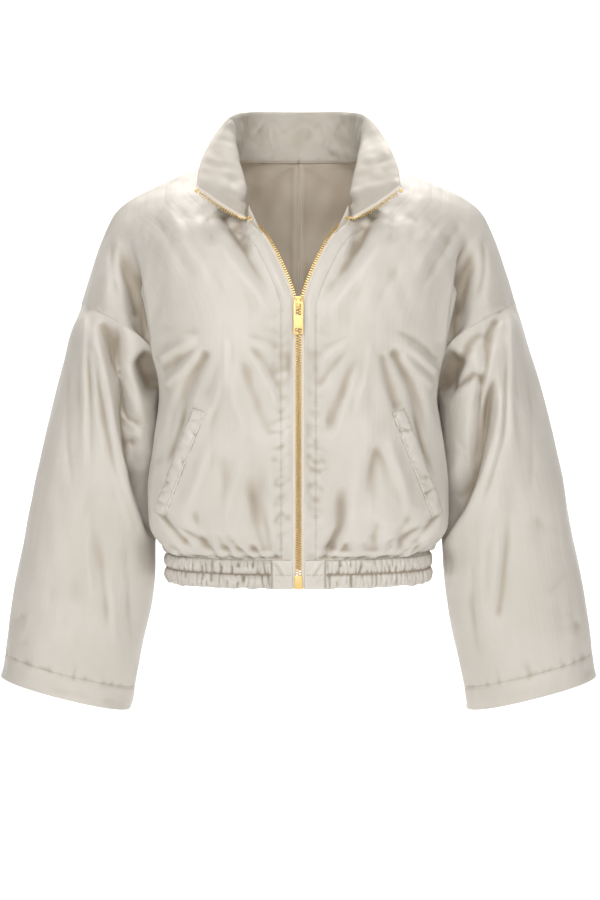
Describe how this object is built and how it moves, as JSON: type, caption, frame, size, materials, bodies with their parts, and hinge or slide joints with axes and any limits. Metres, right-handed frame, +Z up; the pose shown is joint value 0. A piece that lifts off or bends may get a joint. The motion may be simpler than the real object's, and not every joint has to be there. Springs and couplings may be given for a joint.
{
  "type": "satin bomber jacket",
  "caption": "Short satin bomber jacket, filled out as worn, with a flared stand collar, brass zip, wide dropped sleeves and a gathered elastic hem.",
  "frame": {"origin": "middle of the neck, level with the top of the shoulders", "axes": "-Y is the way the front faces, +X is the wearer's left, +Z is up"},
  "size_m": [0.684, 0.243, 0.6934],
  "materials": {
    "satin": "smooth satin polyester, champagne grey, soft sheen",
    "brass": "polished yellow brass",
    "zip_tape": "matt woven polyester tape, champagne"
  },
  "bodies": {
    "jacket": {"back_left": "satin", "back_right": "satin", "collar": "satin", "front_left": "satin", "front_right": "satin", "hem_band": "satin", "hem_tab_left": "satin", "hem_tab_right": "satin", "neck_binding": "satin", "pocket_welt_left": "satin", "pocket_welt_right": "satin", "sleeve_left": "satin", "sleeve_right": "satin", "zip_box": "brass", "zip_slider": "brass", "zip_stop_left": "brass", "zip_stop_right": "brass", "zip_tape_left": "zip_tape", "zip_tape_right": "zip_tape", "zip_teeth_left": "brass", "zip_teeth_right": "brass"},
    "pull_tab": {"zip_pull": "brass"}
  },
  "joints": [
    {"name": "pull_swing", "type": "hinge", "parent": "jacket", "child": "pull_tab", "pos_m": [0, -0.12613, -0.1525], "axis": [-1, 0, 0], "range_deg": [0, 150]}
  ]
}
